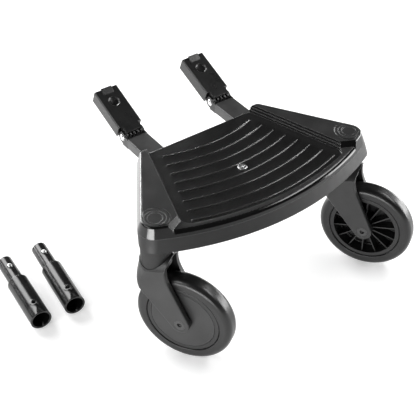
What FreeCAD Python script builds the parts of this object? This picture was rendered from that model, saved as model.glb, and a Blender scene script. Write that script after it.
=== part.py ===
import FreeCAD, Part
import math
import os
from FreeCAD import Vector

# Buggy board: a ride-on platform with two caster wheels and two hinged socket arms that plug
# into the back of a pushchair, and a pair of loose tube adapters lying beside it.
# Millimetres. While it is built, X points right, Y forwards to the arms and Z up, with the
# floor at zero and the two swivel axes on Y = 0. At the end the whole kit is moved so that
# its origin is on the floor, in the middle of its footprint.

# Clearances
RUNNING_FIT = 0.05      # radial play of a pin that turns or slides in its hole
SEAT_FIT = 0.02         # radial play of a piece that is pressed home
RUNNING_GAP = 0.3       # between flat faces that move past each other
ASSEMBLY_GAP = 0.2      # round a piece that is pushed into a pocket

# Wheels
WHEEL_DIAMETER = 125.0
TYRE_WIDTH = 23.8
TYRE_SHOULDER = 8.0     # radius of the tyre's rounded shoulders
RIM_DIAMETER = 96.0     # seat of the tyre
RIM_RING = 6.0          # width of the flat ring between the tyre and the spoke well
RIM_INSET = 0.9         # how far the rim lies inside the tyre's sides
RIM_CHAMFER = 1.2       # of the rim's edges beside the tyre
COVER_THICKNESS = 2.2
COVER_GAP = 0.4
COVER_LEDGE = 2.0       # radial width of the ledge that carries the cover
LEDGE_THICKNESS = 3.0
SPOKE_COUNT = 14
SPOKE_THICKNESS = 1.6
SPOKE_RECESS = 3.0      # how deep the spokes lie below the rim's inner face
HUB_DIAMETER = 24.0
HUB_STAND = 0.5         # how far the hub stands out past the tyre on each side
HUB_BUSH_WALL = 3.0
HUB_BUSH_FLANGE = 1.0
HUB_BUSH_LENGTH = 9.0
HUB_BUSH_RIM = 3.0      # how far the bush's flange reaches past its sleeve

# Axle bolts
AXLE_DIAMETER = 8.0
BOLT_HEAD_DIAMETER = 13.6
BOLT_HEAD_HEIGHT = 3.2
BOLT_SOCKET = 6.0       # across the flats of the hexagon socket
BOLT_SOCKET_DEPTH = 2.4
NUT_FLATS = 13.0
NUT_HEIGHT = 5.0
BOLT_TAIL = 1.0         # bolt standing out past its nut

# Caster forks
CASTER_TRAIL = 37.6     # from the swivel axis back to the axle
CASTER_ANGLE = 31.0     # how far both casters are turned where they stand
WHEEL_GAP = 3.5         # between the tyre's tread and the fork's crown
LEG_THICKNESS = 6.9
LEG_END_RADIUS = 12.5
LEG_EDGE_ROUND = 2.0
CROWN_THICKNESS = 19.5
CROWN_RADIUS = 24.2     # the crown's widest, round the swivel axis
CROWN_TAPER = 3.2       # how much slimmer the crown is low down
CROWN_BULGE = 12.0      # radius of the crown's rounded front
CROWN_BULGE_DROP = 16.0
SADDLE_RADIUS = 24.6    # of the crown's arched top
SADDLE_HEIGHT = 11.2    # of its crest on the swivel axis, above the seat of the neck
SADDLE_TIP = 15.8       # angle at which it rises to the rear
SADDLE_WALL = 3.0       # over the opening for the wheel
OPENING_START = 12.0    # of that opening, behind the swivel axis
WAIST_REACH = 19.8      # the fork's back edge where it is slimmest
WAIST_RISE = 2.8
WAIST_RADIUS = 46.0

# Swivels
NECK_DIAMETER = 37.4
NECK_LENGTH = 33.0
NECK_PLAY = 0.4         # between the neck and the fork's crown
NECK_FLARE = 9.0        # height over which the neck widens into the skirt
PIN_DIAMETER = 12.0
PIN_DEPTH = 16.0        # how deep the pin sits in the fork's crown
PIN_TAIL = 2.0          # pin standing up past its clip
CLIP_THICKNESS = 1.2
CLIP_GROOVE = 0.8
CLIP_WIDTH = 3.6
WASHER_THICKNESS = 1.0
WASHER_DIAMETER = 21.0
SWIVEL_BUSH_WALL = 3.0
SWIVEL_BUSH_FLANGE = 1.5
SWIVEL_BUSH_LENGTH = 15.0
LOWER_FLANGE_DIAMETER = 28.0
UPPER_FLANGE_DIAMETER = 23.0
NECK_BORE_STEP = 1.5    # the neck's bore is this much narrower between the two bushes

# Platform
SWIVEL_HALF = 145.6     # each swivel axis from the middle plane
FRONT_EDGE = 117.5      # the front edge, ahead of the swivel axes
REAR_CENTRE = 300.0     # centre of the rear edge's arc and of the grip strips
SIDE_ANGLE = 32.4       # of the straight sides, from the direction of travel
CORNER_RADIUS = 16.0    # of the top face round each swivel axis
FRONT_CORNER = 7.0
UPPER_FLARE = 4.5       # how far the upper shell widens downwards at the sides
UPPER_REAR_FLARE = 5.5
SKIRT_FLARE = -1.0      # the skirt's sides draw in downwards
SKIRT_REAR_FLARE = 5.5
SKIRT_HEIGHT = 16.0
SKIRT_WALL = 3.0
DECK_RISE = 5.0         # from the parting line up to the deck
DECK_WALL = 3.0
LIP_ROUND = 6.5         # of the rear lip's outer edge
WING_HEIGHT = 10.0      # of the two side wings, above the deck
WING_ROUND = 3.5
PAN_HALF = 115.5        # half width of the sunk deck, on the line of the swivel axes
PAN_ANGLE = 17.5
PAN_CORNER = 14.0
PAN_FRONT_CORNER = 1.0
PAN_REAR_LIP = 5.0      # width of the rear lip's top
TERRACE_STEPS = 3       # ridges down the inner side of each wing
TERRACE_WIDTH = 1.5
WING_RAMP = 12.0        # run of the slope where a wing comes down to the rear lip
RAMP_GAP = 19.5         # from the swivel axis to the head of that slope
RAMP_ANGLE = 65.0       # of the slope's lines in plan, from straight back
RAMP_CORNER = 2.0
RAMP_START = -8.0

# Grip strips
STRIP_COUNT = 8
STRIP_FIRST_RADIUS = 210.0
STRIP_PITCH = 18.07
STRIP_WIDTH = 2.6
STRIP_HEIGHT = 1.3
STRIP_SET = 0.8         # how deep each strip is let into the deck
STRIP_MARGIN = 15.1     # from the strips' ends to the deck's side, on the line of the swivel axes
STRIP_ROUND = 1.2

# Lower frame
RIB_THICKNESS = 3.0
RIB_SETBACK = 4.0       # of the ribs' lower edges above the skirt's
RIB_PITCH = 35.0
RIB_FIRST_ROW = -40.0
RIB_ROWS = 5
POCKET_FLOOR = 2.2
POST_DIAMETER = 12.0

# Screws
DECK_SCREW_PLACE = 28.0     # ahead of the swivel axes
DECK_SCREW_HEAD = 12.0
DECK_SCREW_DIAMETER = 5.0
DECK_SCREW_HEAD_HEIGHT = 2.4
DECK_SCREW_SINK = 0.8
DECK_SCREW_LENGTH = 15.0
DECK_SCREW_SLOT = 1.6
SHELL_SCREW_ROWS = (2, 3)   # the rib rows that hold them, counted from the rear
SHELL_SCREW_DIAMETER = 4.0
SHELL_SCREW_HEAD = 8.0
SHELL_SCREW_HEAD_HEIGHT = 2.6
SHELL_SCREW_BITE = 8.0      # thread in the upper shell
SHELL_SCREW_SINK = 6.0
BAR_SCREW_SETBACKS = (24.0, 68.0)
BAR_SCREW_DIAMETER = 5.0
BAR_SCREW_HEAD = 9.0
BAR_SCREW_HEAD_HEIGHT = 2.6
BAR_SCREW_BITE = 4.0

# Pivot caps
CAP_DIAMETER = 36.0
CAP_GAP = 0.5           # the dark line round each cap
CAP_MARGIN = 2.2        # from the cap to the edge of the wing's top
CAP_THICKNESS = 2.5
CAP_PROUD = 0.4
CAP_EDGE_ROUND = 1.0
CAP_PLUG_DIAMETER = 23.6
CAP_PLUG_WALL = 1.4
CAP_PLUG_DEPTH = 4.5
CAP_RING_DIAMETERS = (17.0, 25.0)
CAP_RING_WIDTH = 1.0
CAP_RING_DEPTH = 0.6
CAP_SEAT_WALL = 3.0

# Arms
ARM_HALF = 68.3         # each arm from the middle plane
ARM_REACH = 53.5        # of the hinge axis ahead of the front edge
BAR_WIDTH = 29.6
BAR_HEIGHT = 14.4
BAR_WALL = 2.0
BAR_EDGE_ROUND = 1.6
BAR_COVER = 1.4         # thickness of the deck over each bar
BAR_INSERT = 92.0       # of the bar inside the platform
BAR_END_SETBACK = 12.4  # of the bar's end behind the hinge axis
HINGE_RISE = 10.5       # of the hinge axis above the bar's underside
KNUCKLE_RADIUS = 8.2
INNER_FINGER_RADIUS = 5.4   # of the bar's fingers between the outermost two
KNUCKLE_PLUG = 24.0
KNUCKLE_ROOT = 1.8
HINGE_FINGERS = 5       # on the socket block, between one more on the bar
FINGER_GAP = 0.3
RIVET_DIAMETER = 6.0
RIVET_HEAD_DIAMETER = 9.6
RIVET_HEAD_HEIGHT = 1.9

# Socket blocks
BLOCK_TILT = 21.4       # of the socket above the bar where it stands
BLOCK_LENGTH = 70.0     # from the hinge axis to the mouth
HOOD_END = -2.0         # of the block's top where it reaches over the hinge axis
BLOCK_WIDTH = 34.0
BLOCK_TOP = 11.4        # above the hinge axis
BLOCK_SIDE = 17.4       # height of the flat sides
BLOCK_CHAMFER = 1.5
SOCKET_DEPTH = 46.0
SOCKET_WALL = 2.0
SOCKET_PLAY = 0.15      # radial play of an adapter's spigot in the socket
SOCKET_HOLE_DIAMETER = 12.0
SOCKET_HOLE_CHAMFER = 1.6
LEAD_IN_LENGTH = 9.0    # of the wedge at the mouth that lets the button in
LEAD_IN_WIDTH = 15.0
LEAD_IN_RISE = 2.9

# Loose adapters
ADAPTER_DIAMETER = 28.0
ADAPTER_SLEEVE = 77.0
ADAPTER_SHOULDER = 3.0
ADAPTER_WALL = 2.4
ADAPTER_BORE_DEPTH = 62.0
ADAPTER_HOLE_PLACE = 20.0
ADAPTER_HOLE_DIAMETER = 6.4
ADAPTER_RING_WIDTH = 2.2
ADAPTER_RING_HEIGHT = 0.8
NOTCH_LENGTH = 11.0
NOTCH_WIDTH = 9.0
NOTCH_DEPTH = 0.8
SPIGOT_DIAMETER = 20.5
SPIGOT_LENGTH = 44.5
SPIGOT_WALL = 2.6
SPIGOT_END_ROUND = 1.5
ADAPTER_PLACES = {"left": (-255.0, 105.5, 5.2), "right": (-207.5, 103.5, 6.7)}
BUTTON_DIAMETER = 6.2
BUTTON_PLAY = 0.15
BUTTON_PROUD = 3.0
BUTTON_FLANGE = 1.1     # how far its flange reaches past its stem
BUTTON_FLANGE_HEIGHT = 1.0
BUTTON_DOME = 1.6
SPRING_WIDTH = 6.0
SPRING_THICKNESS = 0.8
SPRING_LENGTH = 20.0

# Heights and sizes that follow from the ones above
wheel_radius = WHEEL_DIAMETER / 2
rim_radius = RIM_DIAMETER / 2
rim_half = TYRE_WIDTH / 2 - RIM_INSET
well_radius = rim_radius - RIM_RING
hub_half = TYRE_WIDTH / 2 + HUB_STAND
axle_radius = AXLE_DIAMETER / 2
hub_bush_radius = axle_radius + RUNNING_FIT + HUB_BUSH_WALL
slot_half = hub_half + HUB_BUSH_FLANGE + RUNNING_GAP
fork_half = slot_half + LEG_THICKNESS
pin_radius = PIN_DIAMETER / 2
neck_radius = NECK_DIAMETER / 2
swivel_bush_radius = pin_radius + RUNNING_FIT + SWIVEL_BUSH_WALL

crown_under = wheel_radius + math.sqrt((wheel_radius + WHEEL_GAP) ** 2 - CASTER_TRAIL ** 2)
crown_top = crown_under + CROWN_THICKNESS
neck_bottom = crown_top + RUNNING_GAP + SWIVEL_BUSH_FLANGE
skirt_bottom = neck_bottom + NECK_LENGTH
parting = skirt_bottom + SKIRT_HEIGHT
deck_top = parting + DECK_RISE
deck_under = deck_top - DECK_WALL
lip_top = deck_top + WING_HEIGHT / TERRACE_STEPS
wing_top = deck_top + WING_HEIGHT

parting_side = CORNER_RADIUS + UPPER_FLARE
bottom_side = parting_side + SKIRT_FLARE
flare_radius = bottom_side - ASSEMBLY_GAP
top_rear = math.hypot(SWIVEL_HALF, REAR_CENTRE) + CORNER_RADIUS
parting_rear = top_rear + UPPER_REAR_FLARE
bottom_rear = parting_rear + SKIRT_REAR_FLARE
pan_rear = top_rear - PAN_REAR_LIP
outside_rear = bottom_rear + CORNER_RADIUS
outside_front = FRONT_EDGE + CORNER_RADIUS
strip_angle = math.atan((PAN_HALF - STRIP_MARGIN) / REAR_CENTRE)

bar_top = deck_top - BAR_COVER - ASSEMBLY_GAP
bar_bottom = bar_top - BAR_HEIGHT
bar_rear = FRONT_EDGE - BAR_INSERT
hinge_y = FRONT_EDGE + ARM_REACH
hinge_z = bar_bottom + HINGE_RISE
bar_end = hinge_y - BAR_END_SETBACK
rivet_radius = RIVET_DIAMETER / 2

spigot_radius = SPIGOT_DIAMETER / 2
socket_radius = spigot_radius + SOCKET_PLAY
socket_height = BLOCK_TOP - SOCKET_WALL - socket_radius
button_setback = SPIGOT_LENGTH / 2
adapter_radius = ADAPTER_DIAMETER / 2
adapter_bore = adapter_radius - ADAPTER_WALL
adapter_shoulder_end = ADAPTER_SLEEVE + ADAPTER_SHOULDER
adapter_length = adapter_shoulder_end + SPIGOT_LENGTH
spigot_bore = spigot_radius - SPIGOT_WALL
button_place = adapter_shoulder_end + button_setback

FAR = 600.0             # longer than anything in the model, for cutting tools
UP = Vector(0, 0, 1)
RIGHT = Vector(1, 0, 0)
FORWARD = Vector(0, 1, 0)
SIDES = {"left": -1, "right": 1}


def box(x_low, x_high, y_low, y_high, z_low, z_high):
    """A box between two corners."""
    return Part.makeBox(x_high - x_low, y_high - y_low, z_high - z_low, Vector(x_low, y_low, z_low))


def rod(radius, start, length, direction=UP):
    """A solid cylinder that starts at a point."""
    return Part.makeCylinder(radius, length, start, direction)


def ring(outer, inner, start, length, direction=UP):
    """A tube that starts at a point."""
    return rod(outer, start, length, direction).cut(rod(inner, start, length, direction))


def hexagon(flats, start, length, direction):
    """A hexagonal prism, given across its flats."""
    corner = flats / math.sqrt(3)
    turns = [k * math.pi / 3 for k in range(7)]
    points = [Vector(0, corner * math.cos(turn), corner * math.sin(turn)) for turn in turns]
    nut = Part.Face(Part.makePolygon(points)).extrude(RIGHT * length)
    nut.Placement = FreeCAD.Placement(start, FreeCAD.Rotation(RIGHT, direction))
    return nut


def joined(first, others):
    """One solid from a piece and what is fused to it."""
    return first.fuse(list(others)).removeSplitter()


def line(start, end):
    """A straight edge."""
    return Part.LineSegment(start, end).toShape()


def arc(start, middle, end):
    """A circular edge through three points."""
    return Part.Arc(start, middle, end).toShape()


def flat_edges(shape, z):
    """The edges of a shape that lie at one height."""
    return [e for e in shape.Edges if max(abs(e.BoundBox.ZMin - z), abs(e.BoundBox.ZMax - z)) < 1e-4]


def mirrored(point):
    """The same point on the other side of the middle plane."""
    return Vector(-point.x, point.y, point.z)


def plan_wire(half_width, angle, rear, corner, front, front_corner, z):
    """A platform outline: straight front and sides, an arc at the rear and rounded corners."""
    lean = math.radians(angle)
    along = Vector(math.sin(lean), -math.cos(lean), 0)
    outward = Vector(math.cos(lean), math.sin(lean), 0)
    on_side = Vector(half_width, 0, 0)
    rear_centre = Vector(0, REAR_CENTRE, 0)
    inner = on_side - outward * corner - rear_centre
    reach = inner.dot(along)
    step = math.sqrt(reach ** 2 - inner.dot(inner) + (rear - corner) ** 2) - reach
    centre = rear_centre + inner + along * step
    radial = (centre - rear_centre).normalize()
    side_end = centre + outward * corner
    corner_middle = centre + (outward + radial).normalize() * corner
    rear_end = rear_centre + radial * rear
    front_point = on_side - along * (front / math.cos(lean))
    trim = front_corner * math.tan((math.pi / 2 - lean) / 2)
    front_end = front_point - Vector(trim, 0, 0)
    side_start = front_point + along * trim
    front_centre = front_end - Vector(0, front_corner, 0)
    front_middle = front_centre + (FORWARD + outward).normalize() * front_corner
    edges = [
        line(mirrored(front_end), front_end),
        arc(front_end, front_middle, side_start),
        line(side_start, side_end),
        arc(side_end, corner_middle, rear_end),
        arc(rear_end, rear_centre - FORWARD * rear, mirrored(rear_end)),
        arc(mirrored(rear_end), mirrored(corner_middle), mirrored(side_end)),
        line(mirrored(side_end), mirrored(side_start)),
        arc(mirrored(side_start), mirrored(front_middle), mirrored(front_end)),
    ]
    wire = Part.Wire(edges)
    wire.translate(UP * z)
    return wire


def platform_wire(z, side, rear, inset=0.0):
    """The platform's outline at one height, set in from its outer wall."""
    half_width = SWIVEL_HALF + (side - inset) / math.cos(math.radians(SIDE_ANGLE))
    return plan_wire(half_width, SIDE_ANGLE, rear - inset, side - inset, FRONT_EDGE - inset,
                     FRONT_CORNER - inset, z)


def pan_wire(z, offset, rear, front):
    """The outline of the sunk deck, moved outwards by an offset."""
    half_width = PAN_HALF + offset / math.cos(math.radians(PAN_ANGLE))
    return plan_wire(half_width, PAN_ANGLE, rear, PAN_CORNER + offset, front, PAN_FRONT_CORNER, z)


def ramp_wire(z, gap):
    """The outline behind the caps where the wings come down, at a gap from the swivel axes."""
    half_width = SWIVEL_HALF - gap / math.cos(math.radians(RAMP_ANGLE))
    return plan_wire(half_width, RAMP_ANGLE, outside_rear, RAMP_CORNER, RAMP_START, PAN_FRONT_CORNER, z)


def prism(wire, height):
    """A wire's face drawn upwards."""
    return Part.Face(wire).extrude(UP * height)


def swivel_points(z):
    """The two swivel axes at one height."""
    return [Vector(side * SWIVEL_HALF, 0, z) for side in SIDES.values()]


def rib_row(row):
    """The place of one crossways rib, from the rear."""
    return RIB_FIRST_ROW + row * RIB_PITCH


def wing_middle(y):
    """Half-way between the deck's side and the outer wall, from the middle plane."""
    inner = PAN_HALF - y * math.tan(math.radians(PAN_ANGLE))
    lean = math.radians(SIDE_ANGLE)
    outer = SWIVEL_HALF + parting_side / math.cos(lean) - y * math.tan(lean)
    return (inner + outer) / 2


def shell_screw_points(z):
    """The screws that hold the two shells together, at one height."""
    places = [rib_row(row) for row in SHELL_SCREW_ROWS]
    return [Vector(side * wing_middle(y), y, z) for side in SIDES.values() for y in places]


def bar_screw_points(z):
    """The screws that hold the bars, at one height."""
    return [Vector(side * ARM_HALF, FRONT_EDGE - back, z)
            for side in SIDES.values() for back in BAR_SCREW_SETBACKS]


def bar_boxes(gap):
    """The space of the two bars inside the platform, with a gap round them."""
    half = BAR_WIDTH / 2 + gap
    return [box(side * ARM_HALF - half, side * ARM_HALF + half, bar_rear - gap, FRONT_EDGE + FAR,
                bar_bottom - gap, bar_top + gap) for side in SIDES.values()]


def grip_strip_faces(widen):
    """The outlines of the grip strips on the deck, widened all round."""
    half = STRIP_WIDTH / 2 + widen
    angle = strip_angle
    faces = []
    for k in range(STRIP_COUNT):
        radius = STRIP_FIRST_RADIUS + k * STRIP_PITCH

        def at(r, turn):
            return Vector(r * math.sin(turn), REAR_CENTRE - r * math.cos(turn), 0)

        cap = half / radius
        edges = [
            arc(at(radius + half, -angle), at(radius + half, 0), at(radius + half, angle)),
            arc(at(radius + half, angle), at(radius, angle + cap), at(radius - half, angle)),
            arc(at(radius - half, angle), at(radius - half, 0), at(radius - half, -angle)),
            arc(at(radius - half, -angle), at(radius, -angle - cap), at(radius + half, -angle)),
        ]
        faces.append(Part.Face(Part.Wire(edges)))
    return faces


def raised(faces, low, high):
    """Flat faces drawn up between two heights."""
    solids = []
    for face in faces:
        solid = face.extrude(UP * (high - low))
        solid.translate(UP * low)
        solids.append(solid)
    return solids


def make_grip_strips():
    """Soft strips let into the deck, with rounded tops."""
    top = deck_top + STRIP_HEIGHT
    strips = raised(grip_strip_faces(0), deck_top - STRIP_SET, top)
    return Part.makeCompound([s.makeFillet(STRIP_ROUND, flat_edges(s, top)) for s in strips])


def make_deck_shell():
    """The upper moulding: sunk deck, two raised wings and the rounded rear lip."""
    block = Part.makeLoft([platform_wire(parting, parting_side, parting_rear),
                           platform_wire(wing_top, CORNER_RADIUS, top_rear)], True, True)
    lip = block.common(box(-FAR, FAR, -FAR, 0, 0, lip_top))
    lip = lip.makeFillet(LIP_ROUND, [e for e in flat_edges(lip, lip_top) if e.BoundBox.YMin < -RUNNING_GAP])
    wings = block.makeFillet(WING_ROUND, flat_edges(block, wing_top))
    wings = wings.cut(Part.makeLoft([ramp_wire(parting, RAMP_GAP + WING_RAMP), ramp_wire(wing_top, RAMP_GAP)],
                                    True, True))
    body = lip.fuse(wings)
    for k in range(TERRACE_STEPS):
        floor = deck_top + k * WING_HEIGHT / TERRACE_STEPS
        step = k * TERRACE_WIDTH
        body = body.cut(prism(pan_wire(floor, step, pan_rear + step, outside_front), FAR))
    body = body.cut(deck_cavity())
    body = body.cut(deck_cuts())
    return body.removeSplitter()


def deck_cavity():
    """The hollow under the upper moulding, less the bosses that stay solid."""
    hollow = Part.makeLoft([platform_wire(parting, parting_side, parting_rear, DECK_WALL),
                            platform_wire(wing_top - DECK_WALL, CORNER_RADIUS, top_rear, DECK_WALL)],
                           True, True)
    wall = TERRACE_STEPS * TERRACE_WIDTH + DECK_WALL
    keep = [prism(pan_wire(deck_under, wall, outside_rear, outside_front), FAR)]
    keep += [prism(ramp_wire(deck_under, RAMP_GAP - DECK_WALL), FAR)]
    keep += [rod(CAP_DIAMETER / 2 + CAP_SEAT_WALL, p, FAR) for p in swivel_points(0)]
    keep += [rod(POST_DIAMETER / 2, p, FAR) for p in shell_screw_points(0)]
    return hollow.cut(keep)


def deck_cuts():
    """What is cut from the upper moulding: strip grooves, caps, wells, bars and screws."""
    cap_seat = wing_top - CAP_THICKNESS
    grooves = raised(grip_strip_faces(SEAT_FIT), deck_top - STRIP_SET, deck_top + STRIP_HEIGHT)
    caps = [cap_disc(p, CAP_GAP, FAR) for p in swivel_points(cap_seat)]
    wells = [rod(CAP_PLUG_DIAMETER / 2 + SEAT_FIT, p, FAR) for p in swivel_points(0)]
    bites = [rod(SHELL_SCREW_DIAMETER / 2 + SEAT_FIT, p, parting + SHELL_SCREW_BITE)
             for p in shell_screw_points(0)]
    screw = Vector(0, DECK_SCREW_PLACE, 0)
    hole = rod(DECK_SCREW_DIAMETER / 2 + ASSEMBLY_GAP, screw, FAR)
    sink = rod(DECK_SCREW_HEAD / 2 + ASSEMBLY_GAP, screw + UP * (deck_top - DECK_SCREW_SINK), FAR)
    return Part.makeCompound(grooves + caps + wells + bites + bar_boxes(ASSEMBLY_GAP) + [hole, sink])


def make_lower_frame():
    """The lower moulding: skirt, waffle ribs, two necks, bar pockets and screw posts."""
    skirt = Part.makeLoft([platform_wire(skirt_bottom, bottom_side, bottom_rear),
                           platform_wire(parting, parting_side, parting_rear)], True, True)
    inside = Part.makeLoft([platform_wire(skirt_bottom, bottom_side, bottom_rear, SKIRT_WALL),
                            platform_wire(parting, parting_side, parting_rear, SKIRT_WALL)], True, True)
    inner_wall = max(SKIRT_WALL, DECK_WALL) + ASSEMBLY_GAP
    under_deck = prism(platform_wire(parting, parting_side, parting_rear, inner_wall), deck_under - parting)
    keep_clear = prism(pan_wire(parting, 0, pan_rear, FRONT_EDGE - inner_wall), deck_under - parting)
    ribs = rib_grid()
    necks = [rod(neck_radius, p, parting - neck_bottom) for p in swivel_points(neck_bottom)]
    corners = swivel_points(skirt_bottom)
    flares = [neck_flare(p) for p in corners]
    bosses = [rod(flare_radius, p, SKIRT_HEIGHT).common(skirt) for p in corners]
    post_foot = skirt_bottom + RIB_SETBACK
    posts = [rod(POST_DIAMETER / 2, p, parting - post_foot) for p in shell_screw_points(post_foot)]
    centre = Vector(0, DECK_SCREW_PLACE, post_foot)
    posts.append(rod(POST_DIAMETER / 2, centre, deck_under - post_foot))
    floors = [pocket_floor(side) for side in SIDES.values()]
    frame = skirt.cut(inside)
    frame = frame.fuse([ribs.common(inside), ribs.common(under_deck).common(keep_clear)])
    frame = frame.fuse(necks + flares + bosses + posts + floors)
    frame = frame.cut(bar_boxes(0))
    return frame.cut(frame_holes()).removeSplitter()


def neck_flare(top):
    """The hollow-sided widening where a neck runs into the skirt's corner."""
    spread = flare_radius - neck_radius
    sweep = (spread ** 2 + NECK_FLARE ** 2) / (2 * spread)
    turn = math.asin(NECK_FLARE / sweep) / 2
    foot = Vector(neck_radius, 0, -NECK_FLARE)
    middle = foot + Vector(sweep * (1 - math.cos(turn)), 0, sweep * math.sin(turn))
    edge = Vector(flare_radius, 0, 0)
    axis = Vector(0, 0, 0)
    low = Vector(0, 0, -NECK_FLARE)
    outline = Part.Wire([line(low, foot), arc(foot, middle, edge), line(edge, axis), line(axis, low)])
    flare = Part.Face(outline).revolve(axis, UP, 360)
    flare.translate(top)
    return flare


def rib_grid():
    """Crossing ribs under the deck; two of them wall in each bar."""
    low = skirt_bottom + RIB_SETBACK
    half = RIB_THICKNESS / 2
    pocket = BAR_WIDTH / 2 + half
    columns = [0.0]
    for side in SIDES.values():
        columns += [side * (ARM_HALF - pocket), side * (ARM_HALF + pocket)]
    rows = [rib_row(k) for k in range(RIB_ROWS)]
    ribs = [box(x - half, x + half, -FAR, FAR, low, deck_under) for x in columns]
    ribs += [box(-FAR, FAR, y - half, y + half, low, deck_under) for y in rows]
    return ribs[0].fuse(ribs[1:])


def pocket_floor(side):
    """The plate that a bar lies on and is screwed to."""
    half = BAR_WIDTH / 2 + RIB_THICKNESS
    return box(side * ARM_HALF - half, side * ARM_HALF + half, bar_rear - RIB_THICKNESS,
               FRONT_EDGE - SKIRT_WALL / 2, bar_bottom - POCKET_FLOOR, bar_bottom)


def frame_holes():
    """The lower moulding's bores: swivel bushes, shell screws, bar screws and deck screw."""
    bush = swivel_bush_radius + SEAT_FIT
    narrow = [rod(bush - NECK_BORE_STEP, p, FAR) for p in swivel_points(0)]
    lower = [rod(bush, p, SWIVEL_BUSH_LENGTH) for p in swivel_points(neck_bottom)]
    upper = [rod(bush, p, SWIVEL_BUSH_LENGTH) for p in swivel_points(parting - SWIVEL_BUSH_LENGTH)]
    shafts = [rod(SHELL_SCREW_DIAMETER / 2 + ASSEMBLY_GAP, p, FAR) for p in shell_screw_points(0)]
    seat = skirt_bottom + RIB_SETBACK + SHELL_SCREW_SINK
    sinks = [rod(SHELL_SCREW_HEAD / 2 + ASSEMBLY_GAP, p, seat) for p in shell_screw_points(0)]
    bars = [rod(BAR_SCREW_DIAMETER / 2 + ASSEMBLY_GAP, p, FAR) for p in bar_screw_points(0)]
    bite = deck_top - DECK_SCREW_SINK - DECK_SCREW_LENGTH
    centre = rod(DECK_SCREW_DIAMETER / 2 + SEAT_FIT, Vector(0, DECK_SCREW_PLACE, bite), FAR)
    return Part.makeCompound(narrow + lower + upper + shafts + sinks + bars + [centre])


def make_deck_screw():
    """The round-headed screw in the middle of the deck, with a cross slot."""
    seat = Vector(0, DECK_SCREW_PLACE, deck_top - DECK_SCREW_SINK)
    head = rod(DECK_SCREW_HEAD / 2, seat, DECK_SCREW_HEAD_HEIGHT)
    top = seat.z + DECK_SCREW_HEAD_HEIGHT
    head = head.makeFillet(DECK_SCREW_HEAD_HEIGHT / 2, flat_edges(head, top))
    reach = DECK_SCREW_HEAD / 4
    half = DECK_SCREW_SLOT / 2
    slot_floor = top - DECK_SCREW_HEAD_HEIGHT / 2
    cross = box(-reach, reach, seat.y - half, seat.y + half, slot_floor, FAR)
    cross = cross.fuse(box(-half, half, seat.y - reach, seat.y + reach, slot_floor, FAR))
    shank = rod(DECK_SCREW_DIAMETER / 2, seat - UP * DECK_SCREW_LENGTH, DECK_SCREW_LENGTH)
    return joined(head, [shank]).cut(cross)


def plain_screw(head_diameter, head_height, diameter, length, seat):
    """A screw driven upwards, its head below the seat."""
    head = rod(head_diameter / 2, seat - UP * head_height, head_height)
    slot = hexagon(diameter, seat - UP * head_height, head_height / 2, UP)
    return joined(head, [rod(diameter / 2, seat, length)]).cut(slot)


def make_shell_screws():
    """The screws that hold the lower moulding to the wings."""
    seat = skirt_bottom + RIB_SETBACK + SHELL_SCREW_SINK
    length = parting + SHELL_SCREW_BITE - seat - RUNNING_GAP
    return Part.makeCompound([plain_screw(SHELL_SCREW_HEAD, SHELL_SCREW_HEAD_HEIGHT, SHELL_SCREW_DIAMETER,
                                          length, p) for p in shell_screw_points(seat)])


def make_bar_screws():
    """The screws that hold the two bars to their pocket floors."""
    seat = bar_bottom - POCKET_FLOOR
    length = POCKET_FLOOR + BAR_WALL + BAR_SCREW_BITE
    return Part.makeCompound([plain_screw(BAR_SCREW_HEAD, BAR_SCREW_HEAD_HEIGHT, BAR_SCREW_DIAMETER,
                                          length, p) for p in bar_screw_points(seat)])


def cap_disc(seat, gap, height):
    """A round disc trimmed to the wing's outline, with a gap all round."""
    outline = platform_wire(seat.z, CORNER_RADIUS, top_rear, CAP_MARGIN - gap)
    return rod(CAP_DIAMETER / 2 + gap, seat, height).common(prism(outline, height))


def make_pivot_cap(side):
    """The round cap over a swivel pin, with a plug below and a ring groove on top."""
    seat = Vector(side * SWIVEL_HALF, 0, wing_top - CAP_THICKNESS)
    disc = cap_disc(seat, 0, CAP_THICKNESS + CAP_PROUD)
    top = wing_top + CAP_PROUD
    disc = disc.makeFillet(CAP_EDGE_ROUND, flat_edges(disc, top))
    plug_radius = CAP_PLUG_DIAMETER / 2
    plug = ring(plug_radius, plug_radius - CAP_PLUG_WALL, seat - UP * CAP_PLUG_DEPTH, CAP_PLUG_DEPTH)
    groove_floor = seat + UP * (CAP_THICKNESS + CAP_PROUD - CAP_RING_DEPTH)
    grooves = [ring(d / 2 + CAP_RING_WIDTH, d / 2, groove_floor, CAP_RING_DEPTH) for d in CAP_RING_DIAMETERS]
    return joined(disc, [plug]).cut(grooves)


def make_arm_bar(side):
    """A rectangular tube from its pocket in the platform to the hinge."""
    x = side * ARM_HALF
    half = BAR_WIDTH / 2
    bar = box(x - half, x + half, bar_rear, bar_end, bar_bottom, bar_top)
    long_edges = [e for e in bar.Edges if e.BoundBox.YLength > half]
    bar = bar.makeFillet(BAR_EDGE_ROUND, long_edges)
    hollow = box(x - half + BAR_WALL, x + half - BAR_WALL, bar_rear - FAR, bar_end + FAR,
                 bar_bottom + BAR_WALL, bar_top - BAR_WALL)
    holes = [rod(BAR_SCREW_DIAMETER / 2 + SEAT_FIT, p, BAR_WALL) for p in bar_screw_points(bar_bottom)]
    return bar.cut([hollow] + holes)


def finger_spans():
    """The hinge fingers' spans across the hinge, the bar's and the socket block's in turn."""
    step = BAR_WIDTH / (2 * HINGE_FINGERS + 1)
    return [(-BAR_WIDTH / 2 + k * step + FINGER_GAP / 2, step - FINGER_GAP)
            for k in range(2 * HINGE_FINGERS + 1)]


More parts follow.
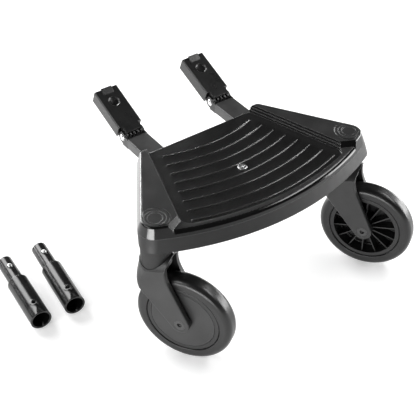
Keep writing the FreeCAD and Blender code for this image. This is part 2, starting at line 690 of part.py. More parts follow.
def make_bar_knuckle(side):
    """The moulded end of a bar: a plug in the tube and the outer hinge fingers."""
    x = side * ARM_HALF
    half = BAR_WIDTH / 2
    inner = BAR_WALL + SEAT_FIT
    plug = box(x - half + inner, x + half - inner, bar_end - KNUCKLE_PLUG, bar_end,
               bar_bottom + inner, bar_top - inner)
    root = box(x - half, x + half, bar_end, bar_end + KNUCKLE_ROOT, bar_bottom, bar_top)
    fingers = []
    spans = finger_spans()[::2]
    for span in spans:
        start, width = span
        radius = KNUCKLE_RADIUS if span in (spans[0], spans[-1]) else INNER_FINGER_RADIUS
        fingers.append(rod(radius, Vector(x + start, hinge_y, hinge_z), width, RIGHT))
        fingers.append(box(x + start, x + start + width, bar_end, hinge_y, bar_bottom, bar_top))
    knuckle = joined(plug, [root] + fingers)
    return knuckle.cut(rod(rivet_radius + SEAT_FIT, Vector(x - FAR, hinge_y, hinge_z), 2 * FAR, RIGHT))


def make_hinge_rivet(side):
    """The bright rivet that a socket block swings on, with a domed head at each end."""
    centre = Vector(side * ARM_HALF, hinge_y, hinge_z)
    seat = BAR_WIDTH / 2 - FINGER_GAP / 2
    rivet = rod(rivet_radius, centre - RIGHT * seat, 2 * seat, RIGHT)
    dome_radius = (RIVET_HEAD_HEIGHT ** 2 + (RIVET_HEAD_DIAMETER / 2) ** 2) / (2 * RIVET_HEAD_HEIGHT)
    heads = []
    for way in SIDES.values():
        ball = Part.makeSphere(dome_radius, centre + RIGHT * way * (seat + RIVET_HEAD_HEIGHT - dome_radius))
        heads.append(ball.common(rod(FAR, centre + RIGHT * way * seat, FAR, RIGHT * way)))
    return joined(rivet, heads)


def make_socket_block(side):
    """A socket that takes an adapter's spigot, with its button hole, lead-in and hinge fingers."""
    half = BLOCK_WIDTH / 2
    low = BLOCK_TOP - BLOCK_SIDE
    clear = KNUCKLE_RADIUS + RUNNING_GAP
    body = box(-half, half, clear, BLOCK_LENGTH, low, BLOCK_TOP)
    top_edges = [e for e in flat_edges(body, BLOCK_TOP) if e.BoundBox.YLength > half]
    body = body.makeChamfer(BLOCK_CHAMFER, top_edges)
    belly = rod(socket_radius + SOCKET_WALL, Vector(0, clear, socket_height), BLOCK_LENGTH - clear, FORWARD)
    wedge = lead_in(BLOCK_TOP, LEAD_IN_WIDTH)
    pivot = Vector(-FAR, 0, 0)
    spans = finger_spans()[1::2]
    block = joined(body, [belly, wedge, hinge_hood(-spans[0][0])]).cut(rod(clear, pivot, 2 * FAR, RIGHT))
    fingers = []
    for first, width in spans:
        fingers.append(rod(KNUCKLE_RADIUS, Vector(first, 0, 0), width, RIGHT))
        fingers.append(box(first, first + width, 0, clear + KNUCKLE_RADIUS / 2, low, KNUCKLE_RADIUS))
    block = joined(block, fingers)
    mouth = Vector(0, BLOCK_LENGTH, socket_height)
    bore = rod(socket_radius, mouth - FORWARD * SOCKET_DEPTH, FAR, FORWARD)
    hole_place = Vector(0, BLOCK_LENGTH - button_setback, 0)
    hole_radius = SOCKET_HOLE_DIAMETER / 2
    hole = rod(hole_radius, hole_place + UP * socket_height, FAR)
    rim = Part.makeCone(hole_radius, hole_radius + SOCKET_HOLE_CHAMFER, SOCKET_HOLE_CHAMFER,
                        hole_place + UP * (BLOCK_TOP - SOCKET_HOLE_CHAMFER))
    ramp = lead_in(BLOCK_TOP - SOCKET_WALL, LEAD_IN_WIDTH - 2 * SOCKET_WALL)
    block = block.cut([bore, hole, rim, ramp, rod(rivet_radius + RUNNING_FIT, pivot, 2 * FAR, RIGHT)])
    block.Placement = FreeCAD.Placement(Vector(side * ARM_HALF, hinge_y, hinge_z),
                                        FreeCAD.Rotation(RIGHT, BLOCK_TILT))
    return block


def hinge_hood(half):
    """The block's top carried on over the hinge, between the bar's outer fingers."""
    end = KNUCKLE_RADIUS + BLOCK_TOP
    bend = rod(BLOCK_TOP, Vector(-half, 0, 0), 2 * half, RIGHT)
    bend = bend.common(box(-half, half, HOOD_END, end, 0, BLOCK_TOP))
    return bend.fuse(box(-half, half, 0, end, 0, BLOCK_TOP)).removeSplitter()


def lead_in(roof, width):
    """A wedge on the socket whose roof slopes up to the mouth."""
    back = BLOCK_LENGTH - LEAD_IN_LENGTH
    points = [(back, socket_height), (BLOCK_LENGTH, socket_height), (BLOCK_LENGTH, roof + LEAD_IN_RISE),
              (back, roof)]
    outline = [Vector(-width / 2, y, z) for y, z in points]
    return Part.Face(Part.makePolygon(outline + outline[:1])).extrude(RIGHT * width)


def on_caster(shape, side):
    """Turn and move a piece from its own swivel axis to its place under the platform."""
    shape.rotate(Vector(0, 0, 0), UP, CASTER_ANGLE)
    shape.translate(RIGHT * side * SWIVEL_HALF)
    return shape


def fork_point(behind, z):
    """A point on the fork's middle plane, by its distance behind the swivel axis."""
    return Vector(0, -behind, z)


def tangent_line(first, first_radius, second, second_radius):
    """Where a line touches two circles; a positive radius keeps the circle on the line's left."""
    gap = (second[0] - first[0], second[1] - first[1])
    bearing = math.atan2(gap[1], gap[0])
    turn = bearing + math.acos((second_radius - first_radius) / math.hypot(*gap))
    normal = (math.cos(turn), math.sin(turn))
    return [(c[0] - r * normal[0], c[1] - r * normal[1])
            for c, r in ((first, first_radius), (second, second_radius))]


def side_line(start, end):
    """A straight edge of the fork's side view."""
    return line(fork_point(*start), fork_point(*end))


def side_arc(start, end, centre, radius):
    """The shorter arc between two points of the fork's side view."""
    lean = ((start[0] + end[0]) / 2 - centre[0], (start[1] + end[1]) / 2 - centre[1])
    scale = radius / math.hypot(*lean)
    middle = (centre[0] + lean[0] * scale, centre[1] + lean[1] * scale)
    return arc(fork_point(*start), fork_point(*middle), fork_point(*end))


def fork_profile():
    """The fork's side view: slim waist, swept leg with a rounded end and bulging crown."""
    front = CROWN_RADIUS + RUNNING_GAP
    top = crown_top + SADDLE_RADIUS
    slim = (WAIST_REACH, crown_top + WAIST_RISE)
    waist = (WAIST_REACH + WAIST_RADIUS, slim[1])
    top_front = (-front, top)
    top_rear = (waist[0] - math.sqrt(WAIST_RADIUS ** 2 - (top - waist[1]) ** 2), top)
    end = (CASTER_TRAIL, wheel_radius)
    bulge = (CROWN_BULGE - front, crown_top - CROWN_BULGE_DROP)
    bulge_high = (-front, bulge[1])
    back_low, back_high = tangent_line(end, LEG_END_RADIUS, waist, -WAIST_RADIUS)
    bulge_low, front_low = tangent_line(bulge, CROWN_BULGE, end, LEG_END_RADIUS)
    return Part.Wire([
        side_line(top_front, top_rear),
        side_arc(top_rear, back_high, waist, WAIST_RADIUS),
        side_line(back_high, back_low),
        side_arc(back_low, front_low, end, LEG_END_RADIUS),
        side_line(front_low, bulge_low),
        side_arc(bulge_low, bulge_high, bulge, CROWN_BULGE),
        side_line(bulge_high, top_front),
    ])


def crown_form():
    """The room that the fork may fill: barrel-shaped in front of the swivel axis, flat-sided behind."""
    low = Vector(0, 0, crown_under - 2 * CROWN_THICKNESS)
    high = Vector(0, 0, crown_top + SADDLE_RADIUS)
    slim = FORWARD * (CROWN_RADIUS - CROWN_TAPER)
    belly = Vector(0, CROWN_RADIUS, crown_under - CROWN_TAPER)
    shoulder = Vector(0, fork_half, crown_top)
    outline = [
        line(low, low + slim),
        arc(low + slim, belly, shoulder),
        line(shoulder, high + FORWARD * fork_half),
        line(high + FORWARD * fork_half, high),
        line(high, low),
    ]
    barrel = Part.Face(Part.Wire(outline)).revolve(Vector(0, 0, 0), UP, 360)
    return barrel.fuse(box(-fork_half, fork_half, -FAR, 0, 0, FAR))


def under_saddle(radius):
    """Everything below the crown's arched top, or below a smaller arch inside it."""
    tip = math.radians(SADDLE_TIP)
    axis = Vector(0, -math.cos(tip), math.sin(tip))
    middle = UP * (crown_top + SADDLE_HEIGHT - SADDLE_RADIUS / math.cos(tip))
    arch = rod(radius, middle - axis * FAR / 2, FAR, axis)
    return arch.fuse(box(-radius, radius, -FAR, FAR, 0, crown_under))


def make_fork(side):
    """A two-legged fork that straddles the wheel, with a crown that holds the neck like a saddle."""
    legs = Part.Face(fork_profile()).extrude(RIGHT * 2 * fork_half)
    legs.translate(-RIGHT * fork_half)
    leg_bottom = wheel_radius - LEG_END_RADIUS / 2
    leg_edges = [e for e in legs.Edges if e.BoundBox.XLength < 1e-4 and e.BoundBox.ZMin < leg_bottom]
    legs = legs.makeFillet(LEG_EDGE_ROUND, leg_edges)
    fork = legs.common(crown_form()).common(under_saddle(SADDLE_RADIUS))
    axle = fork_point(CASTER_TRAIL, wheel_radius)
    slot = rod(wheel_radius + WHEEL_GAP, axle - RIGHT * slot_half, 2 * slot_half, RIGHT)
    gate = box(-slot_half, slot_half, -FAR, -OPENING_START, wheel_radius, FAR)
    opening = gate.common(under_saddle(SADDLE_RADIUS - SADDLE_WALL))
    neck_room = rod(neck_radius + NECK_PLAY, UP * crown_top, FAR)
    pin = rod(pin_radius + SEAT_FIT, UP * (crown_top - PIN_DEPTH), FAR)
    hole = rod(axle_radius + SEAT_FIT, axle - RIGHT * FAR, 2 * FAR, RIGHT)
    seat = fork_half - BOLT_HEAD_HEIGHT
    head_well = rod(BOLT_HEAD_DIAMETER / 2 + ASSEMBLY_GAP, axle - RIGHT * seat, FAR, -RIGHT)
    nut_well = rod(NUT_FLATS / math.sqrt(3) + ASSEMBLY_GAP, axle + RIGHT * seat, FAR, RIGHT)
    fork = fork.cut([slot, opening, neck_room, pin, hole, head_well, nut_well])
    return on_caster(fork, side)


def make_axle_bolt(side):
    """A socket-headed bolt through both legs, its head to the left."""
    axle = fork_point(CASTER_TRAIL, wheel_radius)
    seat = fork_half - BOLT_HEAD_HEIGHT
    head = rod(BOLT_HEAD_DIAMETER / 2, axle - RIGHT * seat, BOLT_HEAD_HEIGHT, -RIGHT)
    outer = axle - RIGHT * fork_half
    socket = hexagon(BOLT_SOCKET, outer, BOLT_SOCKET_DEPTH, RIGHT)
    shank = rod(axle_radius, axle - RIGHT * seat, 2 * seat + NUT_HEIGHT + BOLT_TAIL, RIGHT)
    return on_caster(joined(head, [shank]).cut(socket), side)


def make_axle_nut(side):
    """The nut in its well on the right-hand leg."""
    axle = fork_point(CASTER_TRAIL, wheel_radius)
    seat = axle + RIGHT * (fork_half - BOLT_HEAD_HEIGHT)
    nut = hexagon(NUT_FLATS, seat, NUT_HEIGHT, RIGHT)
    return on_caster(nut.cut(rod(axle_radius + SEAT_FIT, seat, NUT_HEIGHT, RIGHT)), side)


def make_swivel_pin(side):
    """The steel pin that stands in the fork's crown and turns in the neck's bushes."""
    foot = UP * (crown_top - PIN_DEPTH)
    top = clip_height() + CLIP_THICKNESS + PIN_TAIL
    pin = rod(pin_radius, foot, top - foot.z)
    groove = ring(pin_radius + RUNNING_GAP, pin_radius - CLIP_GROOVE, UP * clip_height(), CLIP_THICKNESS)
    return on_caster(pin.cut(groove), side)


def clip_height():
    """The underside of the clip at the top of a swivel pin."""
    return parting + SWIVEL_BUSH_FLANGE + RUNNING_GAP + WASHER_THICKNESS


def make_pin_washer(side):
    """The washer between the upper bush and the clip."""
    start = UP * (clip_height() - WASHER_THICKNESS)
    washer = ring(WASHER_DIAMETER / 2, pin_radius + SEAT_FIT, start, WASHER_THICKNESS)
    return on_caster(washer, side)


def make_pin_clip(side):
    """The open spring clip in the pin's groove."""
    inner = pin_radius - CLIP_GROOVE + SEAT_FIT
    clip = ring(inner + CLIP_WIDTH, inner, UP * clip_height(), CLIP_THICKNESS)
    gap = box(-inner / 2, inner / 2, 0, FAR, 0, FAR)
    return on_caster(clip.cut(gap), side)


def make_swivel_bushes(side):
    """The two flanged bushes in a neck, the lower one carrying the load."""
    axis = RIGHT * side * SWIVEL_HALF
    hole = rod(pin_radius + RUNNING_FIT, axis, FAR)
    foot = axis + UP * neck_bottom
    head = axis + UP * parting
    lower = rod(swivel_bush_radius, foot, SWIVEL_BUSH_LENGTH)
    lower_flange = rod(LOWER_FLANGE_DIAMETER / 2, foot, SWIVEL_BUSH_FLANGE, -UP)
    upper = rod(swivel_bush_radius, head, SWIVEL_BUSH_LENGTH, -UP)
    upper_flange = rod(UPPER_FLANGE_DIAMETER / 2, head, SWIVEL_BUSH_FLANGE)
    bushes = [joined(lower, [lower_flange]), joined(upper, [upper_flange])]
    return Part.makeCompound([bush.cut(hole) for bush in bushes])


def make_tyre(side):
    """The solid tyre, with a round-shouldered tread and flat sides."""
    axle = fork_point(CASTER_TRAIL, wheel_radius)
    half = TYRE_WIDTH / 2
    seat = rim_radius + SEAT_FIT
    shoulder = wheel_radius - TYRE_SHOULDER
    flat = half - TYRE_SHOULDER
    slant = TYRE_SHOULDER * math.sqrt(0.5)

    def at(radius, place):
        return axle + Vector(place, 0, radius)

    edges = [
        line(at(seat, -rim_half), at(seat, rim_half)),
        line(at(seat, rim_half), at(seat + RIM_INSET, half)),
        line(at(seat + RIM_INSET, half), at(shoulder, half)),
        arc(at(shoulder, half), at(shoulder + slant, flat + slant), at(wheel_radius, flat)),
        line(at(wheel_radius, flat), at(wheel_radius, -flat)),
        arc(at(wheel_radius, -flat), at(shoulder + slant, -flat - slant), at(shoulder, -half)),
        line(at(shoulder, -half), at(seat + RIM_INSET, -half)),
        line(at(seat + RIM_INSET, -half), at(seat, -rim_half)),
    ]
    tyre = Part.Face(Part.Wire(edges)).revolve(axle, RIGHT, 360)
    return on_caster(tyre, side)


def make_wheel_rim(side):
    """The moulded wheel: hub, thin spokes and a rim with a ledge for the cover on its outer side."""
    axle = fork_point(CASTER_TRAIL, wheel_radius)
    cover_seat = rim_half - COVER_THICKNESS
    rim = ring(rim_radius, well_radius, axle - RIGHT * rim_half, 2 * rim_half, RIGHT)
    outer_edges = [e for e in rim.Edges if e.BoundBox.YLength > rim_radius + well_radius]
    rim = rim.makeChamfer(RIM_CHAMFER, outer_edges)
    ledge_end = cover_seat - LEDGE_THICKNESS
    ledge = ring(well_radius, well_radius - COVER_LEDGE, axle + RIGHT * side * cover_seat, LEDGE_THICKNESS,
                 -RIGHT * side)
    hub = rod(HUB_DIAMETER / 2, axle - RIGHT * hub_half, 2 * hub_half, RIGHT)
    spoke_ends = sorted([side * (SPOKE_RECESS - rim_half), side * ledge_end])
    spokes = []
    for k in range(SPOKE_COUNT):
        spoke = box(*spoke_ends, -SPOKE_THICKNESS / 2, SPOKE_THICKNESS / 2,
                    HUB_DIAMETER / 4, well_radius + RIM_RING / 2)
        spoke.rotate(Vector(0, 0, 0), RIGHT, 360.0 * k / SPOKE_COUNT)
        spoke.translate(axle)
        spokes.append(spoke)
    wheel = joined(rim, [ledge, hub] + spokes)
    bore = rod(axle_radius + RUNNING_GAP, axle - RIGHT * FAR, 2 * FAR, RIGHT)
    seat_start = hub_half - HUB_BUSH_LENGTH
    seats = [rod(hub_bush_radius + SEAT_FIT, axle + RIGHT * way * seat_start, FAR, RIGHT * way)
             for way in SIDES.values()]
    return on_caster(wheel.cut([bore] + seats), side)


def make_wheel_cover(side):
    """The smooth disc that closes the outer side of a wheel."""
    axle = fork_point(CASTER_TRAIL, wheel_radius)
    start = axle + RIGHT * side * (rim_half - COVER_THICKNESS)
    outer = well_radius - COVER_GAP
    cover = ring(outer, HUB_DIAMETER / 2 + ASSEMBLY_GAP, start, COVER_THICKNESS, RIGHT * side)
    return on_caster(cover, side)


def make_hub_bushes(side):
    """The two flanged bushes that the wheel runs on."""
    axle = fork_point(CASTER_TRAIL, wheel_radius)
    bore = rod(axle_radius + RUNNING_FIT, axle - RIGHT * FAR, 2 * FAR, RIGHT)
    bushes = []
    for way in SIDES.values():
        outward = RIGHT * way
        outer_end = axle + outward * hub_half
        sleeve = rod(hub_bush_radius, outer_end, HUB_BUSH_LENGTH, -outward)
        flange = rod(hub_bush_radius + HUB_BUSH_RIM, outer_end, HUB_BUSH_FLANGE, outward)
        bushes.append(joined(sleeve, [flange]).cut(bore))
    return on_caster(Part.makeCompound(bushes), side)


def on_floor(shape, side):
    """Lay an adapter piece, built along Y from its mouth, where the loose adapters lie."""
    x, y, heading = ADAPTER_PLACES[side]
    shape.rotate(Vector(0, 0, 0), UP, -heading)
    shape.translate(Vector(x, y, adapter_radius))
    return shape


def make_adapter_tube(side):
    """A stepped tube: a sleeve with a hole and notch at its mouth, and a spigot with a button hole."""
    origin = Vector(0, 0, 0)
    sleeve = rod(adapter_radius, origin, ADAPTER_SLEEVE, FORWARD)
    shoulder = Part.makeCone(adapter_radius, spigot_radius, ADAPTER_SHOULDER,
                             FORWARD * ADAPTER_SLEEVE, FORWARD)
    spigot = rod(spigot_radius, FORWARD * adapter_shoulder_end, SPIGOT_LENGTH, FORWARD)
    tip = [e for e in spigot.Edges if e.BoundBox.YMin > adapter_length - 1e-4]
    spigot = spigot.makeFillet(SPIGOT_END_ROUND, tip)
    hole_point = FORWARD * ADAPTER_HOLE_PLACE
    hole_radius = ADAPTER_HOLE_DIAMETER / 2
    collar = rod(hole_radius + ADAPTER_RING_WIDTH, hole_point, adapter_radius + ADAPTER_RING_HEIGHT)
    collar = collar.common(rod(adapter_radius + ADAPTER_RING_HEIGHT, origin, FAR, FORWARD))
    tube = joined(sleeve, [shoulder, spigot, collar])
    bore = rod(adapter_bore, origin, ADAPTER_BORE_DEPTH, FORWARD)
    inner = rod(spigot_bore, FORWARD * ADAPTER_BORE_DEPTH, FAR, FORWARD)
    hole = rod(hole_radius, hole_point, FAR)
    button_hole = rod(BUTTON_DIAMETER / 2 + BUTTON_PLAY, FORWARD * button_place, FAR)
    notch_floor = adapter_radius - NOTCH_DEPTH
    notch = Part.Face(Part.makePolygon([
        Vector(-NOTCH_WIDTH / 2, -RUNNING_GAP, notch_floor),
        Vector(NOTCH_WIDTH / 2, -RUNNING_GAP, notch_floor),
        Vector(0, NOTCH_LENGTH, notch_floor),
        Vector(-NOTCH_WIDTH / 2, -RUNNING_GAP, notch_floor),
    ])).extrude(UP * FAR)
    return on_floor(tube.cut([bore, inner, hole, button_hole, notch]), side)


def button_flange_top():
    """The height of a button's flange over the adapter's axis, just clear of the bore's roof."""
    reach = BUTTON_DIAMETER / 2 + BUTTON_FLANGE
    return math.sqrt(spigot_bore ** 2 - reach ** 2) - RUNNING_GAP


def make_adapter_button(side):
    """The domed snap button, with a flange that keeps it in the spigot."""
    point = FORWARD * button_place
    flange_low = button_flange_top() - BUTTON_FLANGE_HEIGHT
    top = spigot_radius + BUTTON_PROUD
    stem = rod(BUTTON_DIAMETER / 2, point + UP * flange_low, top - flange_low)
    stem = stem.makeFillet(BUTTON_DOME, flat_edges(stem, top))
    flange = rod(BUTTON_DIAMETER / 2 + BUTTON_FLANGE, point + UP * flange_low, BUTTON_FLANGE_HEIGHT)
    return on_floor(joined(stem, [flange]), side)


def make_button_spring(side):
    """The bent steel strip inside the spigot that pushes the button out."""
    top = button_flange_top() - BUTTON_FLANGE_HEIGHT
    low = -math.sqrt(spigot_bore ** 2 - (SPRING_WIDTH / 2) ** 2) + SEAT_FIT
    near = button_place + BUTTON_DIAMETER / 2 + BUTTON_FLANGE
    fold = near - SPRING_LENGTH
    thick = SPRING_THICKNESS
    flat = near - 2 * (BUTTON_DIAMETER / 2 + BUTTON_FLANGE)
    middle = (low + top) / 2
    outside = [(near, top), (flat, top), (fold, middle), (flat, low), (near, low)]
    inside = [(near, low + thick), (flat, low + thick), (fold + 2 * thick, middle),
              (flat, top - thick), (near, top - thick)]
    outline = [Vector(-SPRING_WIDTH / 2, y, z) for y, z in outside + inside]
    strip = Part.Face(Part.makePolygon(outline + outline[:1])).extrude(RIGHT * SPRING_WIDTH)
    return on_floor(strip, side)


def make_parts():
    """Every node of the kit by name, in the building frame."""
    parts = {
        "deck_shell": make_deck_shell(),
        "grip_strips": make_grip_strips(),
        "lower_frame": make_lower_frame(),
        "deck_screw": make_deck_screw(),
        "shell_screws": make_shell_screws(),
        "bar_screws": make_bar_screws(),
    }
    for name, side in SIDES.items():
        parts[name + "_pivot_cap"] = make_pivot_cap(side)
        parts[name + "_swivel_bushes"] = make_swivel_bushes(side)
        parts[name + "_arm_bar"] = make_arm_bar(side)
        parts[name + "_bar_knuckle"] = make_bar_knuckle(side)
        parts[name + "_hinge_rivet"] = make_hinge_rivet(side)
        parts[name + "_socket_block"] = make_socket_block(side)
        parts[name + "_fork"] = make_fork(side)
        parts[name + "_swivel_pin"] = make_swivel_pin(side)
        parts[name + "_pin_washer"] = make_pin_washer(side)
        parts[name + "_pin_clip"] = make_pin_clip(side)
        parts[name + "_axle_bolt"] = make_axle_bolt(side)
        parts[name + "_axle_nut"] = make_axle_nut(side)
        parts[name + "_tyre"] = make_tyre(side)
        parts[name + "_wheel_rim"] = make_wheel_rim(side)
        parts[name + "_wheel_cover"] = make_wheel_cover(side)
        parts[name + "_hub_bushes"] = make_hub_bushes(side)
        parts[name + "_adapter_tube"] = make_adapter_tube(name)
        parts[name + "_adapter_button"] = make_adapter_button(name)
        parts[name + "_button_spring"] = make_button_spring(name)
    return parts


def footprint_middle(parts):
    """The middle of the kit's footprint on the floor, from the pieces that reach furthest."""
    outer = ("tyre", "socket_block", "adapter_tube", "lower_frame")
    reach = [shape for name, shape in parts.items() if name.endswith(outer)]
    bounds = Part.makeCompound(reach).optimalBoundingBox(False)
    return Vector(bounds.Center.x, bounds.Center.y, 0)


parts = make_parts()
origin = footprint_middle(parts)
os.makedirs("parts", exist_ok=True)
for name, shape in parts.items():
    shape.translate(-origin)
    shape.exportStep("parts/" + name + ".step")
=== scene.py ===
import math
import bpy
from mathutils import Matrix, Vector


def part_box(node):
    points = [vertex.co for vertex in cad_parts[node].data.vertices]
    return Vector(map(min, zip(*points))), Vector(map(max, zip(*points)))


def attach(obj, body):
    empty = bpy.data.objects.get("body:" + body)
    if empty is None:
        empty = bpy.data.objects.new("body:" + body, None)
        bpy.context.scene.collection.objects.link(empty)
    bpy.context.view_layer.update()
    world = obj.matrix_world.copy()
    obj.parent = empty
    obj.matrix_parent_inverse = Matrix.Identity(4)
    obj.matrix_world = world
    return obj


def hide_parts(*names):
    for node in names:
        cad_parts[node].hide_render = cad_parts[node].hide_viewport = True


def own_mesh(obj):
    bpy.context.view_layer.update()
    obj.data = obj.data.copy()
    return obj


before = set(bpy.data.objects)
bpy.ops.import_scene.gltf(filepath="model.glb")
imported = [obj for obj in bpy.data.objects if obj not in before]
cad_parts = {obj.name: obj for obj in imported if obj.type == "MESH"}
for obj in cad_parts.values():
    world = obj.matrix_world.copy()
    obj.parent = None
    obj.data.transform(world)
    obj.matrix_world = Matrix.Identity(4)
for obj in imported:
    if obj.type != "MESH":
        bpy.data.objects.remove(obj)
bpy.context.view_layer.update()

# Looks of the buggy board: materials for every node, a white studio floor, soft lights and the camera.
# Metres, in the same frame as the solids.

# Camera: angles in degrees, azimuth from the -Y side towards +X, lens and sensor in millimetres
CAMERA_AZIMUTH = -35.49
CAMERA_ELEVATION = 39.89
CAMERA_PLACE = Vector((-0.5848, -0.8416, 0.9667))
CAMERA_LENS = 90.06
SENSOR_WIDTH = 36.0

KIT_MIDDLE = Vector((0.0, 0.0, 0.12))
LIGHTS = {
    "back_light": {"towards": (-0.20, 0.74, 0.62), "distance": 2.4, "size": (1.2, 1.3), "power": 44.0},
    "front_panel": {"towards": (-0.06, 0.99, 0.10), "distance": 2.5, "size": (3.1, 0.6), "power": 120.0},
    "left_light": {"towards": (-0.76, 0.10, 0.58), "distance": 2.2, "size": (1.4, 0.6), "power": 19.0},
    "left_panel": {"towards": (-0.86, -0.50, 0.03), "distance": 2.0, "size": (1.5, 0.3), "power": 25.0},
    "right_light": {"towards": (0.62, -0.27, 0.73), "distance": 2.4, "size": (1.8, 0.4), "power": 26.0},
    "right_panel": {"towards": (0.98, -0.20, 0.06), "distance": 2.2, "size": (2.2, 1.0), "power": 78.0},
}
WORLD_LEVEL = 0.04

FLOOR_HALF = 40.0
FLOOR_GREY = 0.80
FLOOR_ROUGHNESS = 0.9
NEAR_GLOW = 0.37
FAR_GLOW = 1.0
GLOW_START = 0.6        # distance from the middle at which the glow starts to rise
GLOW_END = 2.0

# Shades of the black parts, as linear grey
WING_GREY = 0.022
LIP_GREY = 0.004
DECK_GREY = 0.003
DECK_SPECK = 0.022
FRAME_GREY = 0.011
BLOCK_GREY = 0.011
BAR_GREY = 0.042
FORK_GREY = 0.026
COVER_GREY = 0.025
RIM_GREY = 0.012
TYRE_GREY = 0.009
ADAPTER_GREY = 0.004
STRIP_GREY = 0.030
BOLT_GREY = 0.006

# Shades of the pale parts
BUSH_GREY = 0.45
STEEL_GREY = 0.55
RIVET_GREY = 0.80

# Finishes of the deck shell: the sunk deck by its height, the lip by how steep it is
STRIP_SET = 0.0008      # how deep the grip strips are let into the deck
DECK_MARGIN = 0.0002    # how far above the deck its finish reaches in full
DECK_EDGE = 0.0006      # height over which its finish fades out
DECK_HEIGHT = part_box("grip_strips")[0][2] + STRIP_SET + DECK_MARGIN
STEEP_START = 0.97      # upward part of a face's normal where the steep finish begins
STEEP_FULL = 0.90

# Sizes of the detail in the surfaces
FINE_GRAIN = 0.0007
COARSE_GRAIN = 0.0013
SPECK = 0.0016
MOTTLE = 0.030
SMEAR = 0.012
EDGE_RADIUS = 0.0009

# Noise: how many finer layers it has, and the range that most of its values lie in
SPECK_DETAIL = 2.0
GRAIN_DETAIL = 3.0
SMEAR_DETAIL = 3.0
MOTTLE_DETAIL = 4.0
NOISE_LOW = 0.3
NOISE_HIGH = 0.7
SPECK_START = 0.50      # noise value at which a speck begins to show
SPECK_FULL = 0.72
GLOSS_SPREAD = 0.12     # share by which smears change the roughness

# Paler edges, part real wear and part painted highlight: the dot product of the true and the rounded normal
# where they begin, and where they are full
WEAR_AND_HIGHLIGHT_START = 0.98
WEAR_AND_HIGHLIGHT_FULL = 0.80
EDGE_SAMPLES = 4


def grey(level):
    """A neutral colour."""
    return (level, level, level, 1.0)


def new_material(name):
    """A material with its node tree and its shader."""
    material = bpy.data.materials.new(name)
    material.use_nodes = True
    tree = material.node_tree
    return material, tree, tree.nodes["Principled BSDF"]


def add_node(tree, kind, **values):
    """A shader node with some of its settings and inputs filled in."""
    node = tree.nodes.new(kind)
    for key, value in values.items():
        if key in node.inputs:
            node.inputs[key].default_value = value
        else:
            setattr(node, key, value)
    return node


def feed(tree, value, socket):
    """Set a socket to a number, or link it to an output."""
    if isinstance(value, float):
        socket.default_value = value
    else:
        tree.links.new(value, socket)


def noise(tree, size, detail):
    """Noise whose features are about a given size."""
    coords = add_node(tree, "ShaderNodeTexCoord")
    node = add_node(tree, "ShaderNodeTexNoise", Scale=1.0 / size, Detail=detail)
    tree.links.new(coords.outputs["Object"], node.inputs["Vector"])
    return node.outputs["Fac"]


def ramp(tree, source, start, end, low=0.0, high=1.0):
    """A value that goes from low to high as its source goes from start to end."""
    limits = {"From Min": start, "From Max": end, "To Min": low, "To Max": high}
    node = add_node(tree, "ShaderNodeMapRange", **limits)
    tree.links.new(source, node.inputs["Value"])
    return node.outputs["Result"]


def varied(tree, source, middle, share):
    """A value that noise moves up and down by a share of it."""
    return ramp(tree, source, NOISE_LOW, NOISE_HIGH, middle * (1 - share), middle * (1 + share))


def mixed(tree, factor, first, second):
    """A blend of two values by a mask."""
    node = add_node(tree, "ShaderNodeMix", data_type="FLOAT")
    tree.links.new(factor, node.inputs["Factor"])
    feed(tree, first, node.inputs["A"])
    feed(tree, second, node.inputs["B"])
    return node.outputs["Result"]


def combined(tree, operation, first, second):
    """Two outputs put through one step of arithmetic."""
    node = add_node(tree, "ShaderNodeMath", operation=operation)
    tree.links.new(first, node.inputs[0])
    tree.links.new(second, node.inputs[1])
    return node.outputs["Value"]


def upward_part(tree, vector):
    """The Z part of a vector."""
    parts = add_node(tree, "ShaderNodeSeparateXYZ")
    tree.links.new(vector, parts.inputs["Vector"])
    return parts.outputs["Z"]


def edge_mask(tree):
    """A rounded normal, and a mask that is one on sharp edges and zero on flat faces."""
    bevel = add_node(tree, "ShaderNodeBevel", Radius=EDGE_RADIUS, samples=EDGE_SAMPLES)
    geometry = add_node(tree, "ShaderNodeNewGeometry")
    likeness = add_node(tree, "ShaderNodeVectorMath", operation="DOT_PRODUCT")
    tree.links.new(bevel.outputs["Normal"], likeness.inputs[0])
    tree.links.new(geometry.outputs["Normal"], likeness.inputs[1])
    return bevel.outputs["Normal"], ramp(tree, likeness.outputs["Value"], WEAR_AND_HIGHLIGHT_START, WEAR_AND_HIGHLIGHT_FULL)


def steep(tree):
    """One on walls and rounded edges, zero on flat tops."""
    geometry = add_node(tree, "ShaderNodeNewGeometry")
    return ramp(tree, upward_part(tree, geometry.outputs["True Normal"]), STEEP_START, STEEP_FULL)


def low_deck(tree):
    """One on the sunk deck, zero on the wings and the lip."""
    coords = add_node(tree, "ShaderNodeTexCoord")
    return ramp(tree, upward_part(tree, coords.outputs["Object"]), DECK_HEIGHT + DECK_EDGE, DECK_HEIGHT)


